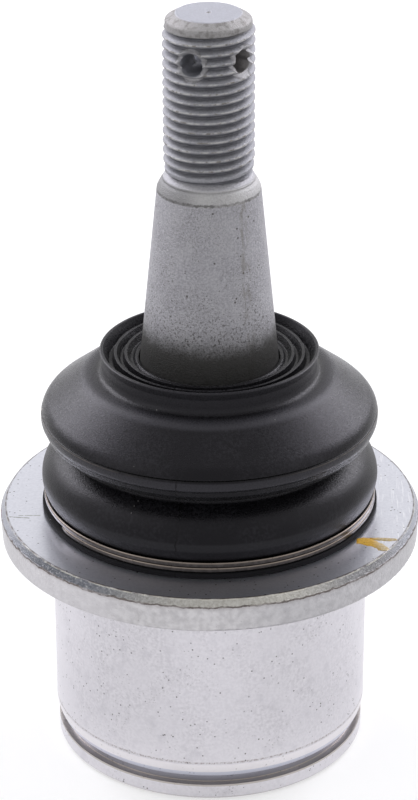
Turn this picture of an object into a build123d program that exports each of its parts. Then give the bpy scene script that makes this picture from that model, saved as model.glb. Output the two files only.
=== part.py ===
"""Press-in suspension ball joint: a ball stud in a flanged, cylindrical housing.

The stud is one forging: ball, waisted neck, 1:5 taper, shoulder and an M14 x 1.5
end with two cross holes for a split pin.  Two bearing shells hold the ball in the
bore, a conical spring washer loads the lower one, and an end plate is crimped in
below it.  A two-fold rubber boot seals the mouth; a double-wound wire ring grips
its foot and a steel ring stiffens its collar round the taper.

Frame: millimetres, +Z along the stud, origin at the centre of the housing's
bottom face.  The ball turns about (0, 0, ball_height).
"""
import os
from math import acos, cos, degrees, radians, sin

from build123d import *

# Housing: the barrel presses into the control arm up to the flange
barrel_radius = 24.93
flange_radius = 33.07
flange_underside = 35.0
flange_parting = 39.2
flange_top = 40.4
flange_draft = 0.2
root_fillet = 0.8

# Snap-ring groove and the reduced land below it
groove_low = 2.7
groove_high = 4.3
groove_radius = 23.5
land_radius = 24.6
lead_in_top = 6.3

# Crimped bottom end
crimp_radius = 18.3
crimp_thickness = 1.65
plate_seat = 3.9

# Raised neck that the boot's foot is clamped to
boot_neck_radius = 23.55
boot_neck_top = 44.2
neck_bead = 0.5

# Ball and its bore
ball_height = 23.5
ball_radius = 15.0
ball_gap = 0.15
bore_radius = 19.3
bore_top = 32.0
throat_radius = 13.6
throat_top = 33.0
mouth_radius = 19.0

# Stud above the ball
neck_radius = 7.7
neck_fillet = 1.2
neck_top = 54.0
land_low = 58.4
taper_low = 62.6
taper_top = 93.0
taper_large_radius = 11.0
taper_slope = 0.1
shoulder_top = 95.4
shoulder_radius = 6.8
undercut_radius = 6.25
thread_low = 96.9
thread_radius = 6.93
thread_top = 118.5
lead_radius = 6.5
lead_top = 119.95
stud_top = 120.9
tip_radius = 4.85
tip_fillet = 0.4
shoulder_bulge = (7.54, 94.28)

# Cross holes for the split pin
pin_hole_height = 114.6
pin_hole_radius = 1.7
pin_sink_radius = 2.65
pin_hole_bearings = (-24.4, 52.0)

# Bearing shells, spring washer and end plate
shell_radius = 19.25
upper_shell_top = 31.95
lower_shell_low = 5.9
upper_seat_angle = 29.0
lower_seat_angle = 69.0
relief_slots = 6
slot_width = 2.0
slot_depth = 1.2
slot_floor = 13.0
washer_outer = 18.0
washer_inner = 9.2
washer_thickness = 1.2
washer_rise = 0.65
plate_radius = 20.2
plate_low = 1.7
dish_radius = 8.0
dish_rise = 0.9

# Boot
boot_wall = 1.6
foot_radius = 26.4
foot_low = 40.45
foot_top = 41.25
ring_floor = 25.25
ring_ledge = 43.15
lower_fold_centre = (21.35, 45.7)
lower_fold_radius = 5.0
flank_length = 1.6
valley_radius = 0.85
fold_edge = (24.46, 52.65)
upper_fold_centre = (22.87, 55.9)
upper_fold_radius = 3.4
slope_length = 6.5
brow_radius = 2.2
collar_foot = (16.6, 63.2)
collar_rim_radius = 17.0
collar_rim_top = 66.8
collar_bore = 11.25
collar_low = 60.9
outer_gutter = 15.3
middle_lip = 14.56
middle_gutter = 13.55
inner_lip = 12.95
inner_gutter = 12.0
gutter_floor = 64.85
lip_top = 66.2
lip_width = 0.6
seal_radius = 10.92
seal_top = 65.5

# Rings on the boot
wire = 0.8
collar_ring_inner = 11.7
collar_ring_outer = 14.7
collar_ring_low = 61.9
collar_ring_top = 63.3


def taper_radius(height):
    """Radius of the stud's 1:5 taper at a height."""
    return taper_large_radius - taper_slope * (height - taper_low)


# ---------------------------------------------------------------- housing
with BuildPart() as housing:
    with BuildSketch(Plane.XZ) as housing_section:
        with BuildLine():
            Polyline(
                (crimp_radius, 0),
                (land_radius - 0.5, 0),
                (land_radius, 0.5),
                (land_radius, groove_low),
                (groove_radius, groove_low),
                (groove_radius, groove_high),
                (land_radius - 0.2, groove_high),
            )
            Spline(
                (land_radius - 0.2, groove_high),
                (barrel_radius, lead_in_top),
                tangents=((0.5, 1), (0, 1)),
            )
            Polyline(
                (barrel_radius, lead_in_top),
                (barrel_radius, flange_underside),
                (flange_radius - flange_draft, flange_underside),
                (flange_radius, flange_parting),
                (flange_radius - 0.75, flange_top),
                (boot_neck_radius, flange_top),
                (boot_neck_radius, boot_neck_top - 1.1),
                (boot_neck_radius + neck_bead, boot_neck_top - 0.6),
                (boot_neck_radius, boot_neck_top),
                (mouth_radius, boot_neck_top),
                (throat_radius, throat_top),
                (throat_radius, bore_top),
                (bore_radius, bore_top),
                (bore_radius, plate_seat),
                (plate_radius + 0.1, plate_seat),
                (plate_radius + 0.1, crimp_thickness),
                (crimp_radius, crimp_thickness),
                (crimp_radius, 0),
            )
        make_face()
    revolve(axis=Axis.Z)
    root = housing.edges().filter_by(GeomType.CIRCLE).filter_by_position(
        Axis.Z, flange_underside - 0.01, flange_underside + 0.01
    ).sort_by(SortBy.RADIUS)
    fillet(root[0], root_fillet)
    fillet(root[-1], 0.5)
    mouth = housing.edges().filter_by(GeomType.CIRCLE).filter_by_position(
        Axis.Z, boot_neck_top - 0.01, boot_neck_top + 0.01
    ).sort_by(SortBy.RADIUS)
    fillet(mouth[0], 0.8)

# ------------------------------------------------------------- ball stud
neck_angle = degrees(acos(neck_radius / ball_radius))
with BuildPart() as ball_stud:
    with BuildSketch(Plane.XZ) as stud_section:
        with BuildLine():
            ball = CenterArc((0, ball_height), ball_radius, -90, 90 + neck_angle)
            waist = Line(ball @ 1, (neck_radius, neck_top))
            flare = Spline(
                waist @ 1,
                (taper_large_radius, land_low),
                tangents=((0, 1), (0.35, 1)),
            )
            taper = Polyline(
                flare @ 1,
                (taper_large_radius, taper_low),
                (taper_radius(taper_top), taper_top),
            )
            shoulder = ThreePointArc(
                taper @ 1,
                shoulder_bulge,
                (shoulder_radius, shoulder_top),
            )
            Polyline(
                shoulder @ 1,
                (undercut_radius, shoulder_top + 0.4),
                (undercut_radius, thread_low - 0.6),
                (thread_radius, thread_low + 0.1),
                (thread_radius, thread_top),
                (lead_radius, thread_top + 0.4),
                (lead_radius, lead_top),
                (tip_radius, stud_top),
                (0, stud_top),
                ball @ 0,
            )
        make_face()
    revolve(axis=Axis.Z)
    rings = ball_stud.edges().filter_by(GeomType.CIRCLE)
    fillet(rings.filter_by_position(Axis.Z, ball_height + 10, ball_height + 15), neck_fillet)
    fillet(rings.filter_by_position(Axis.Z, lead_top - 0.01, stud_top + 0.01), tip_fillet)
    for bearing in pin_hole_bearings:
        for turn in (0, 180):
            way = radians(bearing + turn)
            outward = Vector(sin(way), -cos(way), 0)
            crest = outward * thread_radius + Vector(0, 0, pin_hole_height)
            with Locations(Plane(origin=crest, z_dir=outward)):
                CounterSinkHole(
                    radius=pin_hole_radius,
                    counter_sink_radius=pin_sink_radius,
                    depth=thread_radius,
                    counter_sink_angle=90,
                )

# --------------------------------------------------------- bearing shells
seat_radius = ball_radius + ball_gap
with BuildPart() as upper_bearing:
    with BuildSketch(Plane.XZ):
        with BuildLine():
            seat_arc = CenterArc((0, ball_height), seat_radius, 0, upper_seat_angle)
            Polyline(
                seat_arc @ 1,
                ((seat_arc @ 1).X + 0.4, upper_shell_top),
                (shell_radius - 0.8, upper_shell_top),
                (shell_radius, upper_shell_top - 0.8),
                (shell_radius, ball_height),
                seat_arc @ 0,
            )
        make_face()
    revolve(axis=Axis.Z)

with BuildPart() as lower_bearing:
    with BuildSketch(Plane.XZ):
        with BuildLine():
            cup_arc = CenterArc((0, ball_height), seat_radius, -4, -lower_seat_angle)
            Polyline(
                cup_arc @ 1,
                ((cup_arc @ 1).X, lower_shell_low),
                (shell_radius - 1.5, lower_shell_low),
                (shell_radius, lower_shell_low + 1.5),
                (shell_radius, (cup_arc @ 0).Y),
                cup_arc @ 0,
            )
        make_face()
    revolve(axis=Axis.Z)
    with BuildSketch(Plane.XY.offset(slot_floor)):
        with PolarLocations(seat_radius, relief_slots):
            Rectangle(2 * slot_depth, slot_width)
    extrude(amount=ball_height - slot_floor, mode=Mode.SUBTRACT)

# ------------------------------------------- spring washer and end plate
with BuildPart() as spring_washer:
    with BuildSketch(Plane.XZ):
        with BuildLine():
            Polyline(
                (washer_outer, plate_seat + 0.05),
                (washer_outer, plate_seat + 0.05 + washer_thickness),
                (washer_inner, plate_seat + 0.05 + washer_thickness + washer_rise),
                (washer_inner, plate_seat + 0.05 + washer_rise),
                close=True,
            )
        make_face()
    revolve(axis=Axis.Z)

with BuildPart() as end_plate:
    with BuildSketch(Plane.XZ):
        with BuildLine():
            Polyline(
                (0, plate_low + dish_rise),
                (dish_radius - 1.2, plate_low + dish_rise),
                (dish_radius, plate_low),
                (plate_radius, plate_low),
                (plate_radius, plate_seat),
                (dish_radius, plate_seat),
                (dish_radius - 1.2, plate_seat + dish_rise),
                (0, plate_seat + dish_rise),
                close=True,
            )
        make_face()
    revolve(axis=Axis.Z)

# -------------------------------------------------------------- dust boot
with BuildPart() as dust_boot:
    with BuildSketch(Plane.XZ) as boot_section:
        with BuildLine() as skin:
            lower_fold = CenterArc(lower_fold_centre, lower_fold_radius, -30, 90)
            flank = PolarLine(lower_fold @ 1, flank_length, direction=lower_fold % 1)
            valley = JernArc(flank @ 1, flank % 1, valley_radius, -145)
            eave = Line(valley @ 1, fold_edge)
            upper_fold = CenterArc(upper_fold_centre, upper_fold_radius, -41, 94.5)
            Line(eave @ 1, upper_fold @ 0)
            slope = PolarLine(upper_fold @ 1, slope_length, direction=upper_fold % 1)
            brow = JernArc(slope @ 1, slope % 1, brow_radius, 31.5)
            Line(brow @ 1, collar_foot)
            offset(amount=boot_wall, side=Side.LEFT, closed=True)
        make_face()
        with BuildLine() as foot:
            Polyline(
                (boot_neck_radius + 0.1, foot_low),
                (foot_radius, foot_low),
                (foot_radius, foot_top),
                (ring_floor, foot_top),
                (ring_floor, ring_ledge),
                lower_fold @ 0,
                (boot_neck_radius + neck_bead + 0.15, ring_ledge + 1.2),
                (boot_neck_radius + neck_bead + 0.15, boot_neck_top - 1.05),
                (boot_neck_radius + 0.1, boot_neck_top - 1.15),
                close=True,
            )
        make_face()
        with BuildLine() as collar:
            flared_wall = ThreePointArc(
                collar_foot,
                (collar_foot[0] + 0.1, (collar_foot[1] + collar_rim_top) / 2),
                (collar_rim_radius, collar_rim_top - 0.2),
            )
            Polyline(
                flared_wall @ 1,
                (collar_rim_radius - 0.2, collar_rim_top),
                (collar_rim_radius - lip_width, collar_rim_top),
                (outer_gutter + 0.3, gutter_floor),
                (outer_gutter - 0.35, gutter_floor),
                (middle_lip + 0.25, lip_top),
                (middle_lip - 0.25, lip_top),
                (middle_gutter + 0.2, gutter_floor + 0.2),
                (middle_gutter - 0.2, gutter_floor + 0.2),
                (inner_lip + 0.25, lip_top - 0.1),
                (inner_lip - 0.25, lip_top - 0.1),
                (inner_gutter + 0.2, gutter_floor + 0.2),
                (inner_gutter - 0.2, gutter_floor + 0.2),
                (seal_radius + 0.5, seal_top),
                (seal_radius, seal_top - 0.1),
                (seal_radius, seal_top - 0.9),
                (collar_bore, seal_top - 1.3),
                (collar_bore, collar_ring_top + 0.1),
                (collar_ring_outer + 0.1, collar_ring_top + 0.1),
                (collar_ring_outer + 0.1, collar_ring_low - 0.1),
                (collar_bore, collar_ring_low - 0.1),
                (collar_bore, collar_low),
                (collar_foot[0] - 0.8, collar_low),
                (collar_foot[0] + 0.3, collar_foot[1] - boot_wall + 0.1),
                collar_foot,
            )
        make_face()
    revolve(axis=Axis.Z)

# ------------------------------------------------------ rings on the boot
with BuildPart() as boot_clamp_ring:
    with BuildSketch(Plane.XZ) as turns:
        with Locations(
            (ring_floor + 0.05 + wire / 2, foot_top + 0.05 + wire / 2),
            (ring_floor + 0.05 + wire / 2, foot_top + 0.09 + wire * 3 / 2),
        ):
            Rectangle(wire, wire + 0.05)
        chamfer(turns.vertices(), wire / 4)
    revolve(axis=Axis.Z)

with BuildPart() as boot_collar_ring:
    with BuildSketch(Plane.XZ):
        with BuildLine():
            Polyline(
                (collar_ring_inner, collar_ring_low),
                (collar_ring_outer, collar_ring_low),
                (collar_ring_outer, collar_ring_top),
                (collar_ring_inner, collar_ring_top),
                close=True,
            )
        make_face()
    revolve(axis=Axis.Z)
    chamfer(boot_collar_ring.edges().filter_by(GeomType.CIRCLE), 0.2)

# ----------------------------------------------------------------- export
pieces = {
    "housing": housing,
    "ball_stud": ball_stud,
    "upper_bearing": upper_bearing,
    "lower_bearing": lower_bearing,
    "spring_washer": spring_washer,
    "end_plate": end_plate,
    "dust_boot": dust_boot,
    "boot_clamp_ring": boot_clamp_ring,
    "boot_collar_ring": boot_collar_ring,
}
os.makedirs("parts", exist_ok=True)
for name, piece in pieces.items():
    piece.part.label = name
    export_step(piece.part, f"parts/{name}.step")
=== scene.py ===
"""Looks of a press-in suspension ball joint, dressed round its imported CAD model.

The stud's cut thread, the rubber boot, its wire ring and a dab of marking paint are
meshes made here; the housing, the pieces inside it and the boot's steel ring keep
their CAD shapes and get finishes of their own.  Sizes are in millimetres unless a
comment says otherwise.  Half-sections give the radius first, then the height above
the housing's bottom face, and new_piece() turns points into metres.  Bearings are in
degrees round the stud's axis, from the camera's side, -Y, towards +X.
"""
from math import atan2, cos, degrees, exp, floor, pi, radians, sin, tan

import bpy
from mathutils import Matrix, Vector, noise


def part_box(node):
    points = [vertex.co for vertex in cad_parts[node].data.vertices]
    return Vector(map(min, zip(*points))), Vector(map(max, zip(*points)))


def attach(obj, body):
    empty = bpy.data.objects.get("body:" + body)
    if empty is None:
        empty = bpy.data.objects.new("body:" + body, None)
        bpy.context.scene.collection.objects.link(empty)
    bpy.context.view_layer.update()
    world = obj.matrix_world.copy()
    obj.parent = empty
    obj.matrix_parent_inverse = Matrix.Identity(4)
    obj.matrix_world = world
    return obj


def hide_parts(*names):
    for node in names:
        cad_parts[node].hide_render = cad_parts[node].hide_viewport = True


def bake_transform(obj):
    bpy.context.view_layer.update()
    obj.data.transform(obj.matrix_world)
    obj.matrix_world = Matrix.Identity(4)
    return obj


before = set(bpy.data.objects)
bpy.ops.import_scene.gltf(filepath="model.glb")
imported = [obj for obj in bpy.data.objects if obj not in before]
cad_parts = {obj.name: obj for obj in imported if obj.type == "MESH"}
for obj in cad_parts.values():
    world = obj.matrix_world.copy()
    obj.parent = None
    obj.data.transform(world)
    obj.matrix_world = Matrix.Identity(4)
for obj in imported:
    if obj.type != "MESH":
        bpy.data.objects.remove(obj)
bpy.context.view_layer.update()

MM = 0.001


def node_box(node):
    """Lowest and highest corner of a CAD node in millimetres."""
    low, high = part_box(node)
    return low / MM, high / MM


# ------------------------------------------------------------ sizes from the frame
stud_low, stud_high = node_box("ball_stud")
boot_low, boot_high = node_box("dust_boot")

# Housing, from the bottom up
GROOVE_LOW, GROOVE_HIGH = 2.7, 4.3
GROOVE_RADIUS = 23.5
LEAD_IN_TOP = 6.3
FLANGE_UNDERSIDE = 35.0
FLANGE_PARTING = 39.2
FLANGE_TOP = 40.4
FLANGE_RADIUS = node_box("housing")[1].x
FLANGE_CHAMFER = FLANGE_RADIUS - 0.9  # where the rim's face turns into the top edge
# Scratches on the flange's top: from (x, y) to (x, y), and half-width
FLANGE_SCRATCHES = (((-31.3, -6.1), (-28.3, -6.5), 0.13), ((-29.9, -5.7), (-26.6, -5.6), 0.10))

# Ball stud, from the bottom up
BALL_RADIUS = 15.0
BALL_HEIGHT = stud_low.z + BALL_RADIUS
NECK_RADIUS = 7.7
TAPER_LOW, TAPER_TOP = 62.6, 93.0
TAPER_LARGE, TAPER_SMALL = 11.0, 7.96
SHOULDER_TOP, SHOULDER_RADIUS = 95.4, 6.8
UNDERCUT_RADIUS = 6.15
THREAD_LOW, THREAD_TOP = 95.95, 118.5
THREAD_RADIUS, THREAD_DEPTH, THREAD_PITCH = 6.93, 0.85, 1.5
CREST_FLAT = 0.06  # share of the pitch
THREAD_VALLEY = 109.66  # height of one valley on the side that faces -Y
ROWS_PER_PITCH = 14
RUN_OUT_TOP, RUN_OUT_RADIUS = 98.6, 6.62
LEAD_RADIUS, LEAD_TOP = 6.5, 119.95
TIP_RADIUS = 4.85
TIP_DIMPLE = 0.3
STUD_TOP = stud_high.z
PIN_HOLE_HEIGHT = 114.6
PIN_HOLE_RADIUS, PIN_SINK_RADIUS = 1.75, 2.5
PIN_HOLE_BEARINGS = (-24.4, 52.0)

# Marks on the taper: the heights where each begins and where it is full; the last
# two are painted shade standing for the black boot's reflection, and a dark stain
# that painted shade deepens
SPECKLED, FLECKED = (91.0, 81.0), (81.0, 72.0)
SHADED, STAIN_AND_SHADE = (77.0, 71.6), (73.6, 70.0)

# Dust boot, from the bottom up
BOOT_WALL = 1.6
FOOT_LOW, FOOT_TOP, FOOT_RADIUS = boot_low.z, 41.25, 26.4
NECK_GRIP = 23.65
RING_FLOOR, RING_LEDGE = 25.25, 43.15
LOWER_FOLD, LOWER_FOLD_RADIUS = (21.35, 45.7), 5.0
FLANK = 1.6
VALLEY_RADIUS, VALLEY_TURN = 0.85, -72.5
FOLD_EDGE = (24.46, 52.65)
MOULD_LINE = 56.75
UPPER_FOLD, UPPER_FOLD_RADIUS = (22.87, 55.9), 3.4
SHOULDER_RUN = 6.0
BROW_RADIUS, BROW_TURN = 3.4, 33.0
COLLAR_LOW = 60.9
COLLAR_FOOT = (16.6, 63.2)
COLLAR_BLEND_TOP = 61.5
COLLAR_RIM, COLLAR_RIM_TOP = 17.0, boot_high.z
GUTTER_FLOOR, LIP_TOP = 64.85, 66.2
SEAL_RADIUS = 10.92
SPLIT_BEARING = -11.0  # of the fine upright split below the mould line
SPLIT_WANDER = 0.05  # in radians
BOOT_NUBS = ((-26.3, -0.9, 56.6), (-26.2, -1.5, 45.4))  # pale moulding marks

# Wire ring
WIRE = 0.8
WIRE_PITCH = WIRE + 0.07
WIRE_SECTION = (  # as shares of the wire's half width and half height
    *((1, -0.55), (1, 0.55), (0.85, 0.85), (0.55, 1), (-0.55, 1), (-0.85, 0.85)),
    *((-1, 0.55), (-1, -0.55), (-0.85, -0.85), (-0.55, -1), (0.55, -1), (0.85, -0.85)),
)
WIRE_START = -61.8  # bearing of the lower turn's end
WIRE_SWEEP = 652.0
CLIMB_AT, CLIMB = 305.0, 26.0  # where on the sweep it climbs on to its first turn


# ----------------------------------------------------------------- half-sections
def arc(centre, radius, start, end, step=6.0):
    """Points of an arc; angles in degrees from outwards towards up."""
    count = max(2, round(abs(end - start) / step))
    angles = [radians(start + (end - start) * i / count) for i in range(count + 1)]
    return [
        Vector((centre[0] + radius * cos(a), centre[1] + radius * sin(a)))
        for a in angles
    ]


def heading(outline):
    """Direction of an outline's last run."""
    return (outline[-1] - outline[-2]).normalized()


def ahead(outline, length):
    """Carries an outline straight on."""
    return outline + [outline[-1] + heading(outline) * length]


def bend(outline, radius, turn, step=8.0):
    """Carries an outline on round a bend; a positive turn goes to the left."""
    way = heading(outline)
    side = 1 if turn > 0 else -1
    centre = outline[-1] + Vector((-way.y, way.x)) * radius * side
    start = degrees(atan2(outline[-1].y - centre.y, outline[-1].x - centre.x))
    return outline + arc(centre, radius, start, start + turn, step)[1:]


def rounded(corners, steps=4):
    """A run of corners (radius, height, fillet) as points, each fillet an arc."""
    points = []
    for i, (r, z, fillet) in enumerate(corners):
        corner = Vector((r, z))
        if fillet == 0 or i in (0, len(corners) - 1):
            points.append(corner)
            continue
        back = (Vector(corners[i - 1][:2]) - corner).normalized()
        on = (Vector(corners[i + 1][:2]) - corner).normalized()
        half = back.angle(on) / 2
        reach = fillet / tan(half)
        for k in range(steps + 1):
            t = k / steps
            a = corner + back * reach * (1 - t) ** 2
            points.append(a + on * reach * t**2)
    return points


def inset(outline, distance):
    """The outline moved to its left by a distance."""
    moved = []
    for i, point in enumerate(outline):
        way = outline[min(i + 1, len(outline) - 1)] - outline[max(i - 1, 0)]
        way.normalize()
        moved.append(point + Vector((-way.y, way.x)) * distance)
    return moved


# ------------------------------------------------------------------------ meshes
CREASE, CUT_CREASE = 40.0, 50.0  # edges turning by more than this stay sharp


def new_piece(name, vertices, faces, material):
    """A smooth-shaded mesh object from points in millimetres."""
    mesh = bpy.data.meshes.new(name)
    mesh.from_pydata([Vector(v) * MM for v in vertices], [], faces)
    mesh.validate()
    mesh.shade_smooth()
    mesh.set_sharp_from_angle(angle=radians(CREASE))
    mesh.materials.append(material)
    made = bpy.data.objects.new(name, mesh)
    bpy.context.scene.collection.objects.link(made)
    return made


def lathe(name, outline, material, around=192, closed=True, shape=None):
    """Turns a half-section about Z.  A closed one is a ring; an open one starts and
    ends on the axis.  shape(angle, radius, height) may move each point."""
    vertices, faces, rows = [], [], []
    for point in outline:
        if point[0] < 1e-6:
            rows.append([len(vertices)] * around)
            vertices.append((0, 0, point[1]))
            continue
        rows.append(range(len(vertices), len(vertices) + around))
        for k in range(around):
            angle = 2 * pi * k / around
            r, z = shape(angle, *point) if shape else point
            vertices.append((r * cos(angle), r * sin(angle), z))
    pairs = list(zip(rows, rows[1:]))
    if closed:
        pairs.append((rows[-1], rows[0]))
    for low, high in pairs:
        for k in range(around):
            m = (k + 1) % around
            corners = dict.fromkeys((low[k], low[m], high[m], high[k]))
            faces.append(tuple(corners))
    return new_piece(name, vertices, faces, material)


def cut(piece, tool):
    """Takes a tool's volume out of a piece, and the tool with it."""
    step = piece.modifiers.new("cut", "BOOLEAN")
    step.operation = "DIFFERENCE"
    step.solver = "EXACT"
    step.object = tool
    bpy.context.view_layer.update()
    ready = piece.evaluated_get(bpy.context.evaluated_depsgraph_get())
    mesh = bpy.data.meshes.new_from_object(ready)
    piece.modifiers.clear()
    piece.data = mesh
    bpy.data.objects.remove(tool)


# --------------------------------------------------------------------- finishes
class Finish:
    """A material's nodes, added call by call.  Most calls hand back an output, which
    is a mask from 0 to 1 or a colour; coat() lays a colour over self.colour."""

    def __init__(self, name, attribute=None):
        self.material = bpy.data.materials.new(name)
        self.material.use_nodes = True
        self.tree = self.material.node_tree
        self.shader = self.tree.nodes["Principled BSDF"]
        if attribute:
            self.place = self.node("ShaderNodeAttribute", attribute_name=attribute)
            self.place = self.place.outputs["Vector"]
        else:
            self.place = self.node("ShaderNodeTexCoord").outputs["Object"]
        parts = self.node("ShaderNodeSeparateXYZ", {"Vector": self.place})
        self.x, self.y, self.z = parts.outputs
        squares = [self.math("POWER", part, 2.0) for part in (self.x, self.y)]
        self.radius = self.math("SQRT", self.math("ADD", *squares))
        self.bearing = self.math("ARCTAN2", self.x, self.math("MULTIPLY", self.y, -1.0))

    def node(self, kind, inputs=(), **settings):
        """Adds a node; an input is given a number, a colour or another's output."""
        made = self.tree.nodes.new(kind)
        for key, value in settings.items():
            setattr(made, key, value)
        for key, value in dict(inputs).items():
            self.feed(made.inputs[key], value)
        return made

    def feed(self, socket, value):
        if isinstance(value, bpy.types.NodeSocket):
            self.tree.links.new(value, socket)
        else:
            socket.default_value = value

    def math(self, operation, a, b=0.0):
        return self.node("ShaderNodeMath", {0: a, 1: b}, operation=operation).outputs[0]

    def vector(self, operation, a, b):
        return self.node("ShaderNodeVectorMath", {0: a, 1: b}, operation=operation)

    def both(self, a, b):
        """The product: 1 where both masks are, or a mask's share."""
        return self.math("MULTIPLY", a, b)

    def noise(self, size, low=0.35, high=0.65, detail=3.0, stretch=None):
        """Cloudy noise of a feature size in millimetres, as 0 to 1."""
        place = self.place
        if stretch:
            place = self.vector("MULTIPLY", self.place, stretch).outputs[0]
        inputs = {"Vector": place, "Scale": 1 / (size * MM), "Detail": detail}
        made = self.node("ShaderNodeTexNoise", inputs)
        return self.between(made.outputs["Fac"], low, high)

    def spots(self, spacing, size, soft=0.3):
        """Scattered spots: their spacing and size in millimetres, as 0 to 1."""
        inputs = {"Vector": self.place, "Scale": 1 / (spacing * MM)}
        made = self.node("ShaderNodeTexVoronoi", inputs)
        reach = size / spacing
        return self.between(made.outputs["Distance"], reach, reach * (1 - soft))

    def between(self, value, low, high):
        """0 at low, 1 at high, smooth between and flat beyond."""
        made = self.node(
            "ShaderNodeMapRange",
            {"Value": value, "From Min": low, "From Max": high},
            interpolation_type="SMOOTHSTEP",
        )
        return made.outputs[0]

    def span(self, value, low, high):
        """0 at one distance in millimetres, 1 at another, which may be the smaller."""
        return self.between(value, low * MM, high * MM)

    def rising(self, low, high):
        """0 at one height, 1 at another."""
        return self.span(self.z, low, high)

    def outwards(self, low, high):
        """0 at one radius, 1 at another."""
        return self.span(self.radius, low, high)

    def aside(self, low, high):
        """0 at one bearing in degrees on either side of the front, 1 at another."""
        away = self.math("ABSOLUTE", self.bearing)
        return self.between(away, radians(low), radians(high))

    def zone(self, value, low, high, soft):
        """1 between two places in millimetres, falling to 0 over soft outside them."""
        rise = self.span(value, low - soft, low)
        fall = self.span(value, high + soft, high)
        return self.both(rise, fall)

    def band(self, low, high, soft):
        """1 between two heights, falling to 0 over soft outside them."""
        return self.zone(self.z, low, high, soft)

    def mix(self, share, a, b):
        """Colour a, or b where share is 1."""
        made = self.node("ShaderNodeMix", {"Factor": share}, data_type="RGBA")
        for socket, value in ((made.inputs[6], a), (made.inputs[7], b)):
            if isinstance(value, tuple):
                value = (*value, 1.0)
            self.feed(socket, value)
        return made.outputs[2]

    def coat(self, mask, colour, share=None):
        """Lays a colour over the one so far where the mask is 1, or a share of it."""
        if share is not None:
            mask = self.both(mask, share)
        self.colour = self.mix(mask, self.colour, colour)

    def blend_value(self, share, a, b):
        """Number a, or b where share is 1."""
        made = self.node("ShaderNodeMix", {"Factor": share, 2: a, 3: b})
        return made.outputs[0]

    def bump(self, height, depth, normal=None):
        """Bumps of a real depth in millimetres, on top of another normal."""
        inputs = {"Height": height, "Distance": depth * MM, "Strength": 1.0}
        if normal:
            inputs["Normal"] = normal
        return self.node("ShaderNodeBump", inputs).outputs[0]

    def sector(self, low, high, soft):
        """1 between two bearings in degrees, falling to 0 over soft outside them."""
        rise = self.between(self.bearing, radians(low - soft), radians(low))
        fall = self.between(self.bearing, radians(high + soft), radians(high))
        return self.both(rise, fall)

    def from_axis(self, bearing, height):
        """Distance from a level line through the stud's axis."""
        turn = radians(bearing)
        parts = self.both(self.x, cos(turn)), self.both(self.y, sin(turn))
        aside = self.math("ADD", *parts)
        rise = self.math("SUBTRACT", self.z, height * MM)
        squares = self.math("ADD", self.both(aside, aside), self.both(rise, rise))
        return self.math("SQRT", squares)

    def streak(self, start, end, width, height):
        """1 along a straight stroke on a level face, from (x, y) to (x, y)."""
        start = Vector((*start, height)) * MM
        run = Vector((*end, height)) * MM - start
        from_start = self.vector("SUBTRACT", self.place, start).outputs[0]
        share = run / run.length_squared
        along = self.vector("DOT_PRODUCT", from_start, share).outputs[1]
        along = self.math("MINIMUM", self.math("MAXIMUM", along, 0.0), 1.0)
        inputs = {0: run, "Scale": along}
        foot = self.node("ShaderNodeVectorMath", inputs, operation="SCALE").outputs[0]
        off = self.vector("DISTANCE", from_start, foot).outputs[1]
        return self.span(off, width, width * 0.6)

    def done(self, roughness, normal=None, **fixed):
        """Feeds the shader; what is the same all over is set on its own sockets."""
        self.feed(self.shader.inputs["Base Color"], self.colour)
        self.feed(self.shader.inputs["Roughness"], roughness)
        if normal:
            self.feed(self.shader.inputs["Normal"], normal)
        for key, value in fixed.items():
            self.shader.inputs[key.replace("_", " ")].default_value = value
        return self.material


def coat_thread(f):
    """Valleys dark from a coat and painted shade, crests browned and with a painted
    highlight that also stands for edge wear, and cross holes with torn, bare edges.
    """
    on_thread = f.band(THREAD_LOW + 0.05, THREAD_TOP + 0.4, 0.1)
    at_hole, in_hole, burr = 0.0, 0.0, 0.0
    on_right = f.between(f.bearing, 0.0, 0.5)
    hole_colour = f.mix(on_right, (0.24, 0.245, 0.275), (0.21, 0.2, 0.2))
    for bearing in PIN_HOLE_BEARINGS:
        away = f.from_axis(bearing, PIN_HOLE_HEIGHT)
        near = f.span(away, PIN_SINK_RADIUS + 0.1, PIN_SINK_RADIUS - 0.1)
        at_hole = f.math("MAXIMUM", at_hole, near)
        near = f.span(away, PIN_HOLE_RADIUS + 0.15, PIN_HOLE_RADIUS)
        in_hole = f.math("MAXIMUM", in_hole, near)
        near = f.zone(away, PIN_SINK_RADIUS - 0.1, PIN_SINK_RADIUS + 0.1, 0.12)
        burr = f.math("MAXIMUM", burr, near)
    metal_left = f.math("SUBTRACT", 1.0, at_hole)
    f.coat(on_thread, (0.12, 0.127, 0.145), 0.35)
    # Painted shade with a dark coat: the thread's valleys, where occlusion falls, are darker.
    valley = f.both(on_thread, f.outwards(6.65, 6.15))
    valley = f.both(valley, metal_left)
    f.coat(valley, (0.05, 0.052, 0.064), 0.6)
    # Painted highlight, partly edge wear: a pale broken line along the crests.
    crest = f.both(on_thread, f.outwards(6.8, 6.92))
    bright = f.both(crest, f.noise(1.0, 0.35, 0.6))
    f.coat(bright, (0.54, 0.53, 0.51), 0.5)
    browned = f.both(crest, f.noise(0.8, 0.5, 0.64, 4.0))
    f.coat(browned, (0.14, 0.122, 0.108), 0.75)
    f.coat(at_hole, (0.36, 0.355, 0.365), 0.75)
    f.coat(in_hole, hole_colour, 0.9)
    burr = f.both(burr, f.noise(0.8, 0.45, 0.6, 4.0))
    f.coat(burr, (0.10, 0.095, 0.095), 0.5)


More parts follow.
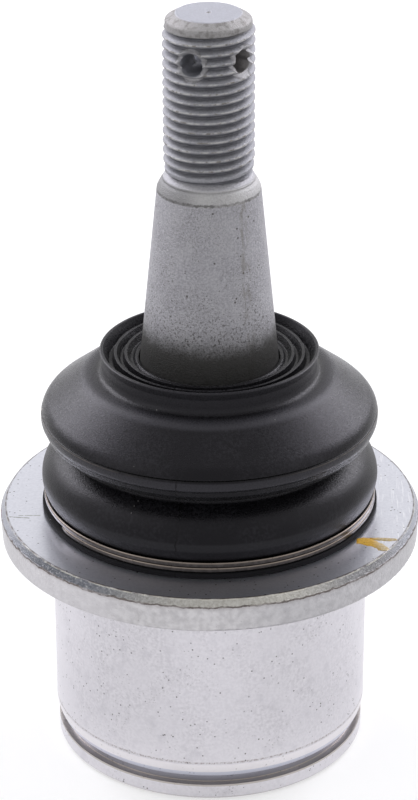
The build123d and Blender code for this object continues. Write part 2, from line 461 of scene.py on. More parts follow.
def coat_tip_and_shoulder(f):
    """A stained chamfer round the bluish top, and the shoulder's bevel, in painted shade on
    its left, and lip.
    """
    tip = f.band(THREAD_TOP + 0.4, STUD_TOP - 0.15, 0.2)
    f.coat(tip, (0.23, 0.22, 0.20), 0.5)
    stains = f.both(tip, f.noise(0.9, 0.46, 0.68, 5.0))
    f.coat(stains, (0.11, 0.10, 0.095), 0.55)
    top = f.rising(STUD_TOP - 0.15, STUD_TOP - 0.03)
    f.coat(top, (0.40, 0.41, 0.47), 0.6)
    shoulder = f.band(TAPER_TOP + 0.15, SHOULDER_TOP - 0.2, 0.15)
    f.coat(shoulder, (0.42, 0.415, 0.385), 0.35)
    # Painted shade: the turned bevel is darker on its left side only.
    left_bevel = f.both(shoulder, f.sector(-140, -35, 30))
    f.coat(left_bevel, (0.11, 0.11, 0.115), 0.6)
    lip_foot = f.band(SHOULDER_TOP - 0.5, SHOULDER_TOP - 0.3, 0.15)
    f.coat(lip_foot, (0.12, 0.12, 0.125), 0.25)
    lip = f.band(SHOULDER_TOP - 0.1, SHOULDER_TOP + 0.3, 0.12)
    f.coat(lip, (0.36, 0.355, 0.37), 0.3)


def coat_taper(f):
    """Specks and a smear on the taper, and a dark ragged band above the boot, stained and
    deepened by painted shade.
    """
    nicks = f.math("ADD", f.z, f.both(f.noise(0.5, 0.0, 1.0, 4.0), 0.5 * MM))
    foot_line = f.zone(nicks, TAPER_TOP + 0.45, TAPER_TOP + 0.65, 0.2)
    foot_share = f.blend_value(f.noise(1.2, 0.4, 0.6), 0.3, 0.8)
    f.coat(f.both(foot_line, foot_share), (0.09, 0.085, 0.085))
    on_taper = f.band(TAPER_LOW, TAPER_TOP - 0.5, 1.0)
    low_taper = f.rising(*SPECKLED)
    specks = f.both(f.noise(0.3, 0.6, 0.68, 3.0), f.noise(2.6, 0.38, 0.56, 2.0))
    f.coat(f.both(specks, low_taper), (0.06, 0.052, 0.048), 0.85)
    dots = f.both(f.spots(1.7, 0.2, 0.4), f.noise(3.0, 0.46, 0.54, 2.0))
    f.coat(f.both(dots, on_taper), (0.05, 0.04, 0.036), 0.85)
    smear = f.both(f.sector(35, 41, 4), f.noise(0.8, 0.42, 0.68, 4.0, (1.0, 1.0, 0.3)))
    f.coat(f.both(smear, on_taper), (0.13, 0.115, 0.085), 0.45)
    fine = f.both(f.noise(0.16, 0.52, 0.66, 2.0), f.noise(5.0, 0.2, 0.6))
    f.coat(f.both(fine, on_taper), (0.10, 0.095, 0.095), 0.6)
    flecks = f.both(f.noise(0.35, 0.56, 0.64, 3.0), f.rising(*FLECKED))
    f.coat(flecks, (0.055, 0.05, 0.048), 0.75)
    ragged = f.math("ADD", f.z, f.both(f.noise(0.3, 0.25, 0.75, 5.0), 1.2 * MM))
    ragged = f.math("ADD", ragged, f.both(f.noise(2.2, 0.2, 0.8, 3.0), 0.8 * MM))
    # Painted shade: darker towards the boot, standing for the black boot's reflection and shadow;
    # then a near-black stain, deepened by painted shade.
    shade = f.span(ragged, *SHADED)
    f.coat(shade, (0.05, 0.048, 0.047), 0.3)
    stain_and_shade = f.span(ragged, *STAIN_AND_SHADE)
    f.coat(stain_and_shade, (0.028, 0.027, 0.025), 0.93)


def stud_finish():
    """Zinc-flake coat, dark in the thread's valleys from a coat and painted shade, browned
    on its crests under a painted highlight that also stands for edge wear, with dark specks
    and a dark band where the taper leaves the boot, stained and deepened by painted shade."""
    f = Finish("zinc_flake")
    mottle = f.noise(0.32, 0.33, 0.67, 6.0)
    cloud = f.noise(3.5, 0.35, 0.65)
    f.colour = f.mix(mottle, (0.265, 0.261, 0.282), (0.41, 0.406, 0.435))
    f.coat(cloud, (0.40, 0.396, 0.415), 0.3)
    coat_thread(f)
    coat_tip_and_shoulder(f)
    coat_taper(f)
    normal = f.bump(f.noise(0.22, 0.3, 0.7, 3.0), 0.035)
    roughness = f.blend_value(mottle, 0.5, 0.66)
    return f.done(roughness, normal, Metallic=0.65)


def coat_flange_top(f, mottle):
    """Pits and scratches on the flange's bluish top, rubbed bright at its right."""
    on_top = f.rising(FLANGE_TOP - 0.1, FLANGE_TOP - 0.02)
    top_colour = f.mix(mottle, (0.62, 0.625, 0.69), (0.68, 0.685, 0.75))
    right_side = f.span(f.x, 20.0, 26.0)
    rubbed = f.noise(0.22, 0.58, 0.7, 2.0, (1.0, 0.05, 1.0))
    rubbed = f.both(f.both(rubbed, right_side), 0.6)
    top_colour = f.mix(rubbed, top_colour, (0.88, 0.88, 0.92))
    f.coat(on_top, top_colour)
    pit = f.both(f.spots(0.95, 0.16, 0.4), f.noise(3.0, 0.43, 0.55, 2.0))
    f.coat(pit, (0.06, 0.055, 0.055), 0.85)
    for start, end, width in FLANGE_SCRATCHES:
        stroke = f.streak(start, end, width, FLANGE_TOP)
        stroke = f.both(stroke, f.noise(0.35, 0.3, 0.5))
        f.coat(stroke, (0.14, 0.15, 0.09), 0.9)
    return on_top


def coat_rim(f, mottle):
    """The rim's rough forged face and the chamfer above it, both coloured by bearing with
    painted light and shade.
    """
    on_rim = f.both(
        f.band(FLANGE_UNDERSIDE, FLANGE_PARTING + 0.15, 0.1),
        f.outwards(FLANGE_CHAMFER, FLANGE_CHAMFER + 0.2),
    )
    forged = f.mix(f.noise(1.1, 0.3, 0.7, 7.0), (0.41, 0.40, 0.41), (0.56, 0.55, 0.56))
    # Painted shade and light by bearing: the forged rim is darker on its right and at both sides
    # seen from the front, and paler on its left.
    painted_shade_right = f.both(f.sector(25, 140, 25), 0.35)
    forged = f.mix(painted_shade_right, forged, (0.27, 0.27, 0.29))
    painted_light_left = f.both(f.sector(-150, -32, 14), 0.5)
    forged = f.mix(painted_light_left, forged, (0.60, 0.585, 0.61))
    painted_sides = f.aside(48, 75)
    forged = f.mix(f.both(painted_sides, 0.5), forged, (0.33, 0.325, 0.33))
    f.coat(on_rim, forged, 0.85)

    on_edge = f.both(
        f.band(FLANGE_PARTING + 0.1, FLANGE_TOP - 0.06, 0.08),
        f.outwards(FLANGE_CHAMFER - 0.05, FLANGE_CHAMFER + 0.1),
    )
    # Painted reflection by bearing: the chamfer edge is a lit tan at the front, in painted shade on
    # the left and right, and bluish grey at the sides.
    front = f.mix(mottle, (0.28, 0.27, 0.245), (0.38, 0.37, 0.345))
    left = f.mix(mottle, (0.05, 0.055, 0.067), (0.10, 0.105, 0.12))
    right = f.mix(mottle, (0.11, 0.11, 0.115), (0.19, 0.188, 0.195))
    edge_colour = f.mix(f.sector(-130, -36, 36), front, left)
    edge_colour = f.mix(f.sector(44, 130, 26), edge_colour, right)
    edge_colour = f.mix(f.both(painted_sides, 0.8), edge_colour, (0.30, 0.31, 0.35))
    scratched = f.noise(0.35, 0.56, 0.66, 3.0)
    edge_colour = f.mix(f.both(scratched, 0.25), edge_colour, (0.45, 0.45, 0.45))
    f.coat(on_edge, edge_colour, 0.95)
    return on_rim, on_edge


def coat_rim_lines(f, on_rim):
    """The rim's bright ridge, its dark upper edge and the crack along its parting."""
    ridge = f.both(
        f.band(FLANGE_TOP - 0.16, FLANGE_TOP - 0.04, 0.05),
        f.outwards(FLANGE_CHAMFER - 0.3, FLANGE_CHAMFER),
    )
    ridge = f.both(ridge, f.noise(1.5, 0.35, 0.6, 4.0))
    f.coat(ridge, (0.55, 0.54, 0.47), 0.45)
    top_edge = f.both(
        f.rising(FLANGE_TOP - 0.12, FLANGE_TOP - 0.04),
        f.outwards(FLANGE_CHAMFER - 0.15, FLANGE_CHAMFER + 0.05),
    )
    top_edge = f.both(top_edge, f.blend_value(f.noise(1.4, 0.35, 0.6, 4.0), 0.35, 0.8))
    f.coat(top_edge, (0.075, 0.055, 0.045))
    wave = f.both(f.noise(1.2, 0.1, 0.9, 6.0), 0.45 * MM)
    place = f.math("ADD", f.z, wave)
    crack = f.both(
        f.zone(place, FLANGE_PARTING + 0.2, FLANGE_PARTING + 0.34, 0.1),
        f.outwards(FLANGE_CHAMFER, FLANGE_CHAMFER + 0.2),
    )
    broken = f.both(crack, f.blend_value(f.noise(1.6, 0.35, 0.55), 0.5, 1.0))
    f.coat(broken, (0.06, 0.052, 0.05))
    halo = f.both(on_rim, f.rising(FLANGE_PARTING - 0.7, FLANGE_PARTING))
    f.coat(halo, (0.25, 0.22, 0.21), 0.3)


def coat_barrel_foot(f):
    """The lead-in and the lip above the groove in painted reflection, the snap-ring groove
    in painted shade, and the brown bottom edge.
    """
    dots = f.band(LEAD_IN_TOP + 0.45, LEAD_IN_TOP + 0.65, 0.12)
    dots = f.both(dots, f.blend_value(f.noise(0.3, 0.45, 0.6, 3.0), 0.15, 0.75))
    f.coat(dots, (0.30, 0.255, 0.25))
    # Painted reflection: the lead-in's rounded edge is paler, standing for the white floor.
    lead_in = f.band(LEAD_IN_TOP - 1.1, LEAD_IN_TOP + 0.1, 0.15)
    f.coat(lead_in, (0.84, 0.81, 0.83), 0.6)
    # Painted reflection: a bluish band on the lip above the groove.
    lip = f.band(GROOVE_HIGH + 0.05, GROOVE_HIGH + 0.75, 0.15)
    f.coat(lip, (0.52, 0.55, 0.68), 0.6)
    # Painted shade: the groove's recess is dark and bluish.
    groove = f.outwards(GROOVE_RADIUS + 0.85, GROOVE_RADIUS + 0.3)
    groove = f.both(groove, f.band(GROOVE_LOW + 0.1, GROOVE_HIGH + 0.05, 0.05))
    f.coat(groove, (0.12, 0.13, 0.18), 0.72)
    brown = f.band(GROOVE_LOW - 0.3, GROOVE_LOW + 0.05, 0.05)
    f.coat(brown, (0.43, 0.385, 0.33), 0.7)
    bottom = f.rising(0.6, 0.35)
    f.coat(bottom, (0.38, 0.34, 0.34), 0.35)


def housing_finish():
    """Zinc-coated forging: turned barrel, rough rim, scratched edge and pitted flange top,
    with painted light and shade on the rim, its edge and the barrel's foot."""
    f = Finish("coated_forging")
    mottle = f.noise(0.45, 0.3, 0.7, 5.0)
    f.colour = f.mix(mottle, (0.55, 0.536, 0.571), (0.67, 0.655, 0.69))
    f.coat(f.noise(5.0, 0.35, 0.65), (0.645, 0.63, 0.668), 0.5)
    # Painted light: the barrel grows paler towards the bottom, where it reflects the floor's
    # shadow.
    painted_light_low = f.rising(14.0, 5.0)
    f.coat(painted_light_low, (0.80, 0.78, 0.82), 0.4)
    above = f.rising(FLANGE_UNDERSIDE - 0.2, FLANGE_UNDERSIDE)
    below = f.math("SUBTRACT", 1.0, above)
    smudge = f.both(f.noise(2.4, 0.52, 0.72, 6.0), 0.22)
    f.coat(smudge, (0.40, 0.39, 0.43))
    scuff = f.both(f.noise(0.35, 0.58, 0.72, 3.0), f.noise(6.0, 0.5, 0.65))
    f.coat(scuff, (0.26, 0.25, 0.26), 0.6)
    on_top = coat_flange_top(f, mottle)
    on_rim, on_edge = coat_rim(f, mottle)
    coat_rim_lines(f, on_rim)
    coat_barrel_foot(f)
    relief = f.both(f.noise(0.45, 0.25, 0.75, 5.0), on_rim)
    normal = f.bump(relief, 0.05)
    normal = f.bump(f.both(f.noise(0.3, 0.3, 0.7, 3.0), on_edge), 0.03, normal)
    turned = f.both(f.noise(0.3, 0.3, 0.7, 2.0, (0.02, 0.02, 1.0)), below)
    normal = f.bump(turned, 0.004, normal)
    grain = f.noise(0.3, 0.3, 0.7, 3.0)
    normal = f.bump(grain, 0.006, normal)
    roughness = f.blend_value(mottle, 0.3, 0.42)
    roughness = f.blend_value(on_top, roughness, 0.29)
    return f.done(roughness, normal, Metallic=0.94)


def rubber_finish():
    """Matt black moulded rubber: grain, dust, a mould line and a fine split, with
    painted highlights, painted sheen and painted light on the folds, shoulder and collar.
    """
    f = Finish("boot_rubber", attribute="rest")
    grain = f.noise(0.19, 0.3, 0.7, 3.0)
    bloom = f.both(f.noise(0.5, 0.4, 0.65, 6.0), f.noise(6.0, 0.35, 0.6))
    f.colour = f.mix(bloom, (0.0035, 0.0033, 0.0043), (0.012, 0.0117, 0.014))
    # Painted light: the collar's outer wall is paler than the rest of the rubber.
    wall = f.both(f.band(63.6, 67.0, 0.3), f.outwards(16.0, 16.4))
    f.coat(wall, (0.022, 0.0215, 0.025), 0.7)
    # Painted highlights: paler bands on the upper fold's lower edge and on the brow by the collar.
    fold_edge = f.band(MOULD_LINE - 1.55, MOULD_LINE - 0.55, 0.3)
    brow = f.both(f.band(62.5, 63.0, 0.5), f.outwards(17.2, 18.8))
    painted_highlight = f.math("MAXIMUM", fold_edge, brow)
    f.coat(painted_highlight, (0.044, 0.043, 0.05), 0.7)
    # Painted sheen: speckled paler patches on the shoulder, away from the front only.
    flanks = f.aside(15, 60)
    painted_sheen = f.both(f.band(58.6, 62.2, 1.2), f.noise(0.22, 0.42, 0.6, 3.0))
    f.coat(f.both(painted_sheen, flanks), (0.07, 0.068, 0.082), 0.6)
    # Painted highlight: a paler band round the lower fold's widest part.
    painted_low_highlight = f.band(LOWER_FOLD[1] - 0.6, LOWER_FOLD[1] + 0.2, 0.5)
    f.coat(painted_low_highlight, (0.03, 0.03, 0.033), 0.5)
    foot = f.rising(FOOT_TOP + 0.35, FOOT_TOP + 0.05)
    f.coat(foot, (0.003, 0.003, 0.0035), 0.6)
    dust = f.both(f.spots(2.4, 0.1, 0.5), f.noise(4.0, 0.48, 0.56, 1.0))
    f.coat(dust, (0.35, 0.34, 0.33))
    line = f.band(MOULD_LINE - 0.13, MOULD_LINE + 0.09, 0.06)
    f.coat(line, (0.001, 0.001, 0.001), 0.95)
    # Painted highlight: a broken pale line just below the mould line, away from the front only.
    painted_edge_highlight = f.band(MOULD_LINE - 0.35, MOULD_LINE - 0.25, 0.06)
    painted_edge_highlight = f.both(painted_edge_highlight, f.noise(1.3, 0.2, 0.55, 3.0))
    f.coat(f.both(painted_edge_highlight, flanks), (0.14, 0.125, 0.112))
    for nub in BOOT_NUBS:
        away = f.vector("DISTANCE", f.place, Vector(nub) * MM).outputs[1]
        f.coat(f.span(away, 0.5, 0.35), (0.42, 0.39, 0.35))
    wander = f.math("ADD", f.bearing, f.both(f.noise(1.6, 0.0, 1.0, 4.0), SPLIT_WANDER))
    middle = radians(SPLIT_BEARING) + SPLIT_WANDER / 2
    split = f.math("ABSOLUTE", f.math("SUBTRACT", wander, middle))
    split = f.between(split, 0.0085, 0.003)
    split = f.both(split, f.rising(58.2, 57.0))
    split = f.both(split, f.blend_value(f.noise(2.5, 0.3, 0.6), 0.3, 1.0))
    f.coat(split, (0.001, 0.001, 0.001), 0.9)
    normal = f.bump(grain, 0.014)
    normal = f.bump(f.math("SUBTRACT", 1.0, split), 0.03, normal)
    roughness = f.blend_value(f.noise(0.25, 0.35, 0.65, 2.0), 0.24, 0.36)
    roughness = f.blend_value(f.rising(50.0, 47.0), roughness, 0.46)
    roughness = f.blend_value(foot, roughness, 0.75)
    return f.done(
        roughness,
        normal,
        Specular_IOR_Level=0.16,
        Sheen_Weight=0.05,
        Sheen_Roughness=0.35,
        Specular_Tint=(0.95, 0.92, 1.0, 1.0),
    )


def plain_finish(name, dark, light, size, rough, relief, metallic):
    """Steel or polymer with mottling and relief of a given size."""
    f = Finish(name)
    mottle = f.noise(size, 0.3, 0.7, 4.0)
    f.colour = f.mix(mottle, dark, light)
    normal = f.bump(f.noise(size / 2, 0.3, 0.7), relief)
    roughness = f.blend_value(mottle, rough - 0.06, rough + 0.06)
    return f.done(roughness, normal, Metallic=metallic)


def wire_finish():
    """Browned spring steel, with a painted highlight along the top edge of each turn and
    painted shade where the upper turn sits on the lower.
    """
    f = Finish("wire_steel")
    mottle = f.noise(0.6, 0.3, 0.7, 4.0)
    f.colour = f.mix(mottle, (0.055, 0.049, 0.046), (0.082, 0.073, 0.068))
    for turn in (1, 2):
        edge = FOOT_TOP + turn * WIRE_PITCH
        # Painted highlight along each turn's top edge, and painted shade just above it, where the
        # upper turn sits on the lower.
        bright = f.band(edge - 0.12, edge, 0.06)
        f.coat(bright, (0.30, 0.25, 0.215), 0.5)
        gap = f.band(edge + 0.02, edge + 0.1, 0.06)
        f.coat(gap, (0.012, 0.01, 0.009), 0.8)
    spotted = f.noise(0.35, 0.62, 0.72, 3.0)
    f.coat(spotted, (0.04, 0.032, 0.028), 0.6)
    normal = f.bump(f.noise(0.3, 0.3, 0.7), 0.004)
    return f.done(f.blend_value(spotted, 0.3, 0.5), normal, Metallic=1.0)


def paint_finish():
    """Marking paint, thick and yellow at its start and thin and pale at its end."""
    f = Finish("marking_paint")
    thin = f.span(f.x, 24.6, 26.6)
    streak = f.noise(0.4, 0.3, 0.7, 4.0)
    thick = f.mix(streak, (0.60, 0.33, 0.02), (0.72, 0.43, 0.05))
    pale = f.mix(streak, (0.50, 0.36, 0.13), (0.62, 0.52, 0.36))
    f.colour = f.mix(thin, thick, pale)
    normal = f.bump(streak, 0.02)
    return f.done(f.blend_value(streak, 0.35, 0.55), normal)


# ------------------------------------------------------------------ dust boot
def fold_relief(point):
    """The upper fold's share of its round section: hollow below its edge, and cut by
    the fine line where the mould parts."""
    hollow = 0.06 * exp(-(((point.y - (MOULD_LINE - 2.25)) / 0.5) ** 2))
    line = 0.05 * exp(-(((point.y - MOULD_LINE) / 0.09) ** 2))
    return 1 - hollow - line


def boot_outline():
    """The boot's outer skin from the wire's ledge to the collar, and the index of
    the middle of the valley between its folds."""
    skin = arc(LOWER_FOLD, LOWER_FOLD_RADIUS, -30, 60)
    skin = ahead(skin, FLANK)
    skin = bend(skin, VALLEY_RADIUS, VALLEY_TURN)
    middle = len(skin) - 1
    skin = bend(skin, VALLEY_RADIUS, VALLEY_TURN)
    centre = Vector(UPPER_FOLD)
    upper_fold = [
        centre + (point - centre) * fold_relief(point)
        for point in arc(UPPER_FOLD, UPPER_FOLD_RADIUS, -41, 53.5, 1.4)
    ]
    lip = rounded(((*skin[-1], 0), (*FOLD_EDGE, 0.25), (*upper_fold[0], 0)))
    skin = skin + lip[1:-1] + upper_fold
    skin = ahead(skin, SHOULDER_RUN)
    skin = bend(skin, BROW_RADIUS, BROW_TURN)
    return skin, middle


def boot_shape(angle, r, z):
    """The slight waver of a moulded part between its foot and collar, and burrs on
    the foot's outer edge."""
    waver = 0.05 * sin(2 * angle + 0.6) + 0.03 * sin(5 * angle + z)
    above_foot = min(1.0, max(0.0, (z - RING_LEDGE) / 2))
    below_collar = min(1.0, max(0.0, (COLLAR_BLEND_TOP - z) / 2))
    if z < FOOT_TOP + 0.1 and r > FOOT_RADIUS - 0.3:
        r += 0.12 * max(0.0, noise.noise((30 * cos(angle), 30 * sin(angle), 0)))
    return r + waver * above_foot * below_collar, z


rubber = rubber_finish()
skin, valley_middle = boot_outline()
lower_skin = skin[: valley_middle + 1]
upper_skin = skin[valley_middle:]

foot = rounded(
    (
        (NECK_GRIP, RING_LEDGE - 0.2, 0),
        (NECK_GRIP, FOOT_LOW, 0.15),
        (FOOT_RADIUS, FOOT_LOW, 0.2),
        (FOOT_RADIUS, FOOT_TOP, 0.2),
        (RING_FLOOR, FOOT_TOP, 0.1),
        (RING_FLOOR, RING_LEDGE, 0.1),
        (*lower_skin[0], 0),
    )
)
boot_lower = lathe(
    "boot_lower_fold",
    foot + lower_skin[1:] + inset(lower_skin, BOOT_WALL)[::-1],
    rubber,
    shape=boot_shape,
)

collar = rounded(
    (
        (*upper_skin[-1], 0),
        (*COLLAR_FOOT, 1.2),
        (16.7, 65.6, 1.0),
        (COLLAR_RIM, COLLAR_RIM_TOP - 0.15, 0.12),
        (COLLAR_RIM - 0.2, COLLAR_RIM_TOP, 0.1),
        (COLLAR_RIM - 0.55, COLLAR_RIM_TOP, 0.1),
        (15.6, GUTTER_FLOOR, 0.25),
        (14.95, GUTTER_FLOOR, 0.2),
        (14.78, LIP_TOP, 0.1),
        (14.36, LIP_TOP, 0.1),
        (13.8, GUTTER_FLOOR + 0.2, 0.2),
        (13.35, GUTTER_FLOOR + 0.2, 0.15),
        (13.15, LIP_TOP - 0.1, 0.1),
        (12.75, LIP_TOP - 0.1, 0.1),
        (12.2, GUTTER_FLOOR + 0.2, 0.15),
        (11.8, GUTTER_FLOOR + 0.2, 0.15),
        (SEAL_RADIUS + 0.5, 65.5, 0.1),
        (SEAL_RADIUS, 65.35, 0.1),
        (SEAL_RADIUS, 64.6, 0),
        (11.25, 64.2, 0),
        (11.25, 63.4, 0),
        (14.8, 63.4, 0),  # the steel ring's pocket
        (14.8, 61.8, 0),
        (11.25, 61.8, 0),
        (11.25, COLLAR_LOW, 0.2),
        (15.2, COLLAR_LOW, 0.2),
        (*inset(upper_skin, BOOT_WALL)[-1], 0),
    ),
    steps=5,
)
boot_upper = lathe(
    "boot_upper_fold",
    upper_skin + collar[1:-1] + inset(upper_skin, BOOT_WALL)[::-1],
    rubber,
    shape=boot_shape,
)
for piece in (boot_lower, boot_upper):
    rest = piece.data.attributes.new("rest", "FLOAT_VECTOR", "POINT")
    rest.data.foreach_set("vector", [c for v in piece.data.vertices for c in v.co])
    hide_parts("dust_boot")
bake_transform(boot_lower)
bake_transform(boot_upper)

# ------------------------------------------------------------------- ball stud
def envelope(z):
    """Radius of the thread's crest: lower towards the shoulder and above the thread."""
    ramp = UNDERCUT_RADIUS + 4 * max(0.0, z - THREAD_LOW)
    fade = (z - THREAD_LOW) / (RUN_OUT_TOP - THREAD_LOW)
    crest = RUN_OUT_RADIUS + (THREAD_RADIUS - RUN_OUT_RADIUS) * min(1.0, fade)
    lead = LEAD_RADIUS + max(0.0, THREAD_TOP + 0.4 - z)
    return min(ramp, crest, lead)


def smooth(t):
    """0 to 1 with level ends."""
    t = min(1.0, max(0.0, t))
    return t * t * (3 - 2 * t)


def thread_shape(angle, r, z):
    """Cuts the right-hand thread into the stud's end."""
    top = LEAD_TOP - 0.5
    if z < THREAD_LOW or z > top:
        return r, z
    valley = THREAD_VALLEY + THREAD_PITCH * ((angle + pi / 2) / (2 * pi))
    phase = (z - valley) / THREAD_PITCH
    near = abs(2 * (phase - floor(phase)) - 1)
    t = min(1.0, max(0.0, (near - CREST_FLAT) / (1 - CREST_FLAT)))
    depth = THREAD_DEPTH * (0.35 * t + 0.65 * smooth(t))
    depth *= smooth((top - z) / 0.5)
    return min(r, THREAD_RADIUS - depth), z


stud_body = arc((0, BALL_HEIGHT), BALL_RADIUS, -90, 58, 4)
stud_body[0].x = 0
stud_body += rounded(
    (
        (NECK_RADIUS + 0.4, 37.4, 0),
        (NECK_RADIUS, 38.6, 0.5),
        (NECK_RADIUS, 54.0, 1.0),
        (TAPER_LARGE - 0.3, 57.6, 1.0),
        (TAPER_LARGE, 58.8, 0.3),
        (TAPER_LARGE, TAPER_LOW, 0.4),
        (TAPER_SMALL, TAPER_TOP, 0.4),
        (7.9, 93.5, 0.2),
        (7.68, 94.0, 0.2),
        (7.35, 94.6, 0.2),
        (7.0, 94.95, 0.1),
        (7.02, 95.12, 0.08),
        (SHOULDER_RADIUS + 0.05, SHOULDER_TOP, 0.12),
        (6.3, SHOULDER_TOP + 0.42, 0.15),
        (UNDERCUT_RADIUS, THREAD_LOW - 0.03, 0),
    )
)
threaded = LEAD_TOP - 0.45 - THREAD_LOW
row_count = round(threaded / THREAD_PITCH * ROWS_PER_PITCH)
for i in range(row_count + 1):
    height = THREAD_LOW + threaded * i / row_count
    stud_body.append(Vector((envelope(height), height)))
stud_body += rounded(
    (
        (*stud_body[-1], 0),
        (LEAD_RADIUS, LEAD_TOP, 0.6),
        (TIP_RADIUS, STUD_TOP, 0.7),
        (0.5, STUD_TOP, 0.1),
        (0.1, STUD_TOP - TIP_DIMPLE, 0),
    )
)[1:]
stud_body.append(Vector((0, STUD_TOP - TIP_DIMPLE)))
stud = lathe(
    "stud",
    stud_body,
    stud_finish(),
    around=160,
    closed=False,
    shape=thread_shape,
)
for bearing in PIN_HOLE_BEARINGS:
    reach = THREAD_RADIUS + 1.0
    mouth = PIN_SINK_RADIUS + 1.0
    inner = THREAD_RADIUS - (PIN_SINK_RADIUS - PIN_HOLE_RADIUS)
    spool = (
        (0, -reach),
        (mouth, -reach),
        (PIN_HOLE_RADIUS, -inner),
        (PIN_HOLE_RADIUS, inner),
        (mouth, reach),
        (0, reach),
    )
    drill = lathe("drill", spool, stud.data.materials[0], around=48, closed=False)
    lean = Matrix.Rotation(radians(bearing), 4, "Z") @ Matrix.Rotation(pi / 2, 4, "X")
    drill.matrix_world = Matrix.Translation((0, 0, PIN_HOLE_HEIGHT * MM)) @ lean
    cut(stud, drill)
stud.data.shade_smooth()
stud.data.set_sharp_from_angle(angle=radians(CUT_CREASE))
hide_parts("ball_stud")
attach(stud, "stud")

# ------------------------------------------------------------------ wire ring
def wire_ring(name, material, around=220):
    """Nearly two turns of wire, the second lying on the first, and climbing to it at
    the back, so that the first turn's end is bare."""
    radius = RING_FLOOR + 0.05 + WIRE / 2
    low = FOOT_TOP + 0.07 + WIRE / 2
    section = [(WIRE / 2 * x, (WIRE + 0.05) / 2 * z) for x, z in WIRE_SECTION]
    steps = round(WIRE_SWEEP / 360 * around)
    vertices, faces = [], []
    for i in range(steps + 1):
        swept = WIRE_SWEEP * i / steps
        t = (swept - CLIMB_AT) / CLIMB
        height = low + WIRE_PITCH * smooth(t)
        angle = radians(WIRE_START - 90 + swept)
        from_end = min(i, steps - i)
        full = (0.55, 0.85, 1.0)[min(from_end, 2)]
        for x, z in section:
            r = radius + x * full
            vertices.append((r * cos(angle), r * sin(angle), height + z * full))
    count = len(section)
    for i in range(steps):
        for k in range(count):
            m = (k + 1) % count
            a, b = i * count, (i + 1) * count
            faces.append((a + k, b + k, b + m, a + m))
    faces.append(tuple(range(count)))
    faces.append(tuple(range(steps * count, (steps + 1) * count))[::-1])
    return new_piece(name, vertices, faces, material)


clamp_wire = wire_ring("clamp_wire", wire_finish())
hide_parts("boot_clamp_ring")
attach(clamp_wire, "housing")


# ---------------------------------------------------------------- marking paint
def paint_stroke(name, spine, widths, material, thickness=0.09):
    """A brush stroke on the flange's top face, ragged at its edges."""
    vertices, faces = [], []
    fine = 8
    points = []
    for i in range(len(spine) - 1):
        for k in range(fine):
            t = k / fine
            a, b = Vector(spine[i]), Vector(spine[i + 1])
            points.append((a.lerp(b, t), widths[i] * (1 - t) + widths[i + 1] * t))
    points.append((Vector(spine[-1]), widths[-1]))
    across = (-1.0, -0.8, -0.35, 0.35, 0.8, 1.0)
    lifts = (-0.02, 0.7, 1.0, 1.0, 0.7, -0.02)
    last = len(points) - 1
    for i, (point, width) in enumerate(points):
        way = (points[min(i + 1, last)][0] - points[max(i - 1, 0)][0]).normalized()
        side = Vector((-way.y, way.x))
        for share, lift in zip(across, lifts):
            ragged = 1 + 0.22 * noise.noise((point.x * 2.1, point.y * 2.1, share * 3))
            spot = point + side * (width / 2 * share * ragged)
            end = 1.0 if 0 < i < last else 0.0
            vertices.append((*spot, FLANGE_TOP + thickness * lift * end))
    count = len(across)
    for i in range(last):
        for k in range(count - 1):
            a, b = i * count + k, (i + 1) * count + k
            faces.append((a, b, b + 1, a + 1))
    return new_piece(name, vertices, faces, material)


paint = paint_finish()
paint_strokes = (
    (
        "paint_mark",
        (
            (22.6, -14.3),
            (24.0, -14.4),
            (25.2, -15.2),
            (26.3, -16.2),
            (26.7, -17.1),
            (26.75, -17.5),
        ),
        (1.6, 2.5, 1.9, 1.6, 1.7, 0.8),
    ),
    (
        "paint_trail",
        ((24.6, -13.6), (26.0, -13.7), (27.6, -13.9), (28.9, -13.9)),
        (0.5, 0.9, 1.1, 0.5),
    ),
)
for name, spine, widths in paint_strokes:
    stroke = paint_stroke(name, spine, widths, paint)
    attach(stroke, "housing")

# ------------------------------------------------------- finishes of CAD nodes
INNER_FINISHES = (
    # node, material, dark, light, mottling's size, roughness, relief, metallic
    ("end_plate", "plate_steel", (0.34, 0.34, 0.35), (0.47, 0.47, 0.47), 0.8, 0.42, 0.01, 1),
    ("spring_washer", "washer_steel", (0.16, 0.16, 0.17), (0.25, 0.25, 0.25), 0.5, 0.35, 0.004, 1),
    ("boot_collar_ring", "ring_steel", (0.3, 0.3, 0.31), (0.42, 0.42, 0.43), 0.5, 0.4, 0.005, 1),
    ("upper_bearing", "bearing_polymer", (0.62, 0.59, 0.5), (0.7, 0.67, 0.58), 0.7, 0.45, 0.004, 0),
    ("lower_bearing", "cup_polymer", (0.62, 0.59, 0.5), (0.7, 0.67, 0.58), 0.7, 0.45, 0.004, 0),
)
cad_finishes = {"housing": housing_finish()}
for node, *look in INNER_FINISHES:
    cad_finishes[node] = plain_finish(*look)
for node, finish in cad_finishes.items():
    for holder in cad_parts[node].material_slots:
        holder.material = finish

# ------------------------------------------------------- floor, light and camera
FLOOR_REACH = 1.6  # metres
FLOOR_LEVEL = -0.05 * MM  # just clear of the part
WORLD_LIT, WORLD_SEEN = 0.4, 1.0
PAPER_LIT, PAPER_SEEN = 0.15, 0.5
CAMERA_PLACE = (0.0, -423.109, 261.375)
CAMERA_PITCH, CAMERA_YAW, CAMERA_ROLL = 25.7068, -0.0104, -0.1371
FOCAL_PIXELS, LONG_SIDE, SENSOR = 3012.45, 800, 36.0


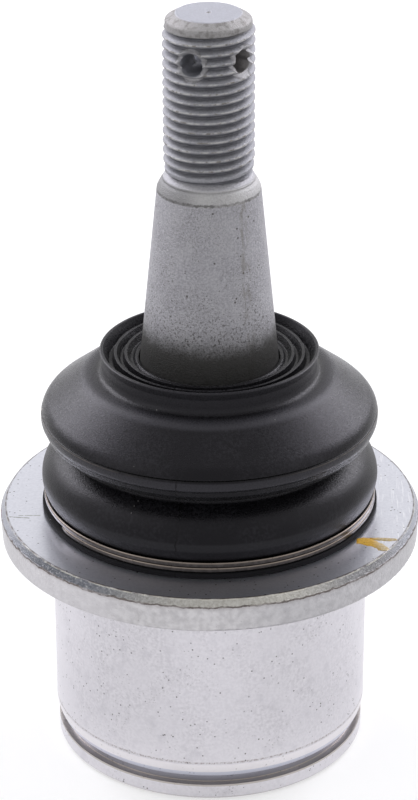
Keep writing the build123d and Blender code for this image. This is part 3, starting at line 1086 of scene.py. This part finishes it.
def white_where_seen(tree, lit, seen):
    """A strength that is seen for camera, mirror and glass rays, and lit for others."""
    path = tree.nodes.new("ShaderNodeLightPath")
    most = None
    for ray in ("Is Camera Ray", "Is Glossy Ray", "Is Transmission Ray"):
        if most is None:
            most = path.outputs[ray]
            continue
        larger = tree.nodes.new("ShaderNodeMath")
        larger.operation = "MAXIMUM"
        tree.links.new(most, larger.inputs[0])
        tree.links.new(path.outputs[ray], larger.inputs[1])
        most = larger.outputs[0]
    choice = tree.nodes.new("ShaderNodeMix")
    choice.inputs[2].default_value = lit
    choice.inputs[3].default_value = seen
    tree.links.new(most, choice.inputs[0])
    return choice.outputs[0]


world = bpy.data.worlds.new("studio")
bpy.context.scene.world = world
world.use_nodes = True
background = world.node_tree.nodes["Background"]
background.inputs["Color"].default_value = (1.0, 1.0, 1.0, 1.0)
world.node_tree.links.new(
    white_where_seen(world.node_tree, WORLD_LIT, WORLD_SEEN), background.inputs["Strength"]
)

floor_mesh = bpy.data.meshes.new("floor")
floor_corners = ((-1, -1), (1, -1), (1, 1), (-1, 1))
floor_mesh.from_pydata(
    [(x * FLOOR_REACH, y * FLOOR_REACH, FLOOR_LEVEL) for x, y in floor_corners],
    [],
    [(0, 1, 2, 3)],
)
floor_sheet = bpy.data.objects.new("floor", floor_mesh)
bpy.context.scene.collection.objects.link(floor_sheet)
paper = bpy.data.materials.new("white_paper")
paper.use_nodes = True
paper_shader = paper.node_tree.nodes["Principled BSDF"]
paper_shader.inputs["Base Color"].default_value = (0.5, 0.5, 0.5, 1.0)
paper_shader.inputs["Roughness"].default_value = 0.9
paper_shader.inputs["Emission Color"].default_value = (1.0, 1.0, 1.0, 1.0)
paper.node_tree.links.new(
    white_where_seen(paper.node_tree, PAPER_LIT, PAPER_SEEN),
    paper_shader.inputs["Emission Strength"],
)
floor_mesh.materials.append(paper)


def softbox(name, place, aim, size, watts, colour=(1.0, 1.0, 1.0)):
    """An area lamp at a place, turned towards a point; metres and watts."""
    lamp = bpy.data.lights.new(name, "AREA")
    lamp.shape = "RECTANGLE"
    lamp.size, lamp.size_y = size
    lamp.energy = watts
    lamp.color = colour
    holder = bpy.data.objects.new(name, lamp)
    bpy.context.scene.collection.objects.link(holder)
    holder.location = place
    way = Vector(aim) - Vector(place)
    holder.rotation_euler = way.to_track_quat("-Z", "Y").to_euler()


middle = (0, 0, 0.06)
softbox("left_box", (-0.5, -0.25, 0.4), middle, (0.4, 0.5), 0.6)
softbox("right_box", (0.5, -0.2, 0.35), middle, (0.4, 0.5), 0.4)
cool = (0.95, 0.94, 1.0)
softbox("back_left_box", (-0.5, 0.42, 0.48), middle, (0.5, 0.48), 4.7, cool)
softbox("back_right_box", (0.5, 0.42, 0.48), middle, (0.5, 0.48), 4.7, cool)
softbox("top_box", (0.0, 0.05, 0.8), middle, (0.5, 0.5), 0.3)

camera = bpy.data.cameras.new("camera")
camera.sensor_width = SENSOR
camera.lens = FOCAL_PIXELS / LONG_SIDE * SENSOR
camera.clip_start, camera.clip_end = 0.01, 10
holder = bpy.data.objects.new("camera", camera)
bpy.context.scene.collection.objects.link(holder)
pitch, yaw, roll = (radians(a) for a in (CAMERA_PITCH, CAMERA_YAW, CAMERA_ROLL))
forward = Vector((sin(yaw) * cos(pitch), cos(yaw) * cos(pitch), -sin(pitch)))
level = Vector((cos(yaw), -sin(yaw), 0))
upright = level.cross(forward)
right = level * cos(roll) + upright * sin(roll)
up = upright * cos(roll) - level * sin(roll)
holder.matrix_world = Matrix.Translation(Vector(CAMERA_PLACE) * MM) @ Matrix(
    (right, up, -forward)
).transposed().to_4x4()
bpy.context.scene.camera = holder

bpy.context.scene.view_settings.view_transform = "Standard"
